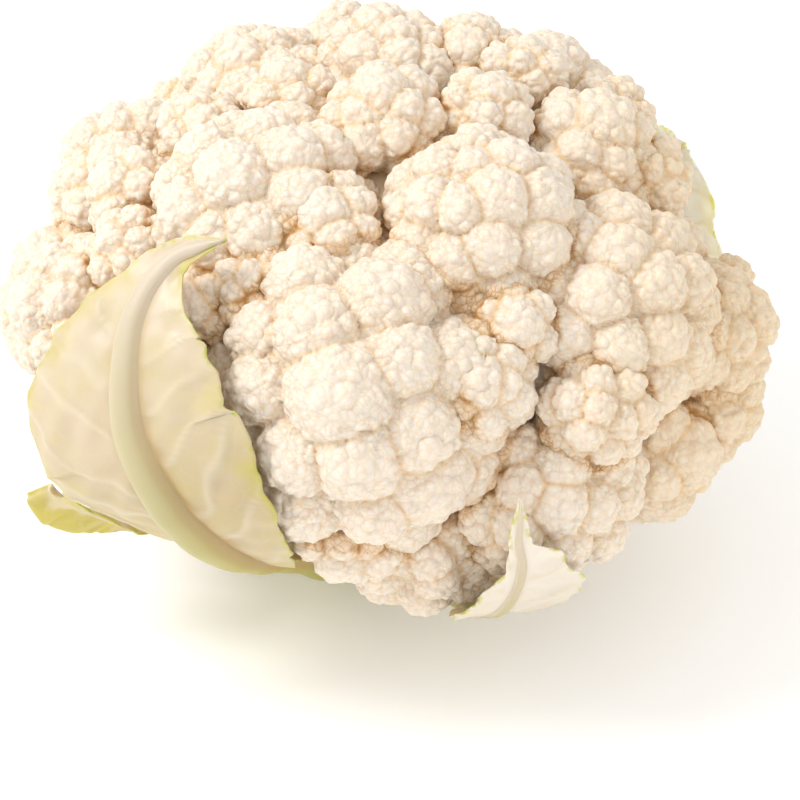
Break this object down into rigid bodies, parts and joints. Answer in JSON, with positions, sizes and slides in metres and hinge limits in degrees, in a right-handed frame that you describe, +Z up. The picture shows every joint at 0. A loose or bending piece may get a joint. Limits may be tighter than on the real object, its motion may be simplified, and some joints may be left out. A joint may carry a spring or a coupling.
{
  "type": "cauliflower",
  "caption": "Head of white cauliflower with lobed florets on a short cut stem, with a few pale leaves still hugging its sides",
  "frame": {"origin": "Middle of the stem's flat cut face, on the surface that the head stands on", "axes": "+Z up, out of the surface that the head stands on; +X along the head's greatest width, to the right in the usual view; -Y towards the usual view"},
  "size_m": [0.1904, 0.1841, 0.1386],
  "materials": {
    "curd": "matt, creamy white, warmer in the creases",
    "leaf": "smooth and slightly waxy, pale yellow green with a cream blade",
    "stem": "smooth pale green skin, with a moist pale cut face"
  },
  "bodies": {
    "root": {"curd": "curd", "stem": "stem", "leaf_left": "leaf", "leaf_low_left": "leaf", "leaf_front": "leaf", "leaf_back_right": "leaf", "leaf_back": "leaf"}
  },
  "joints": []
}
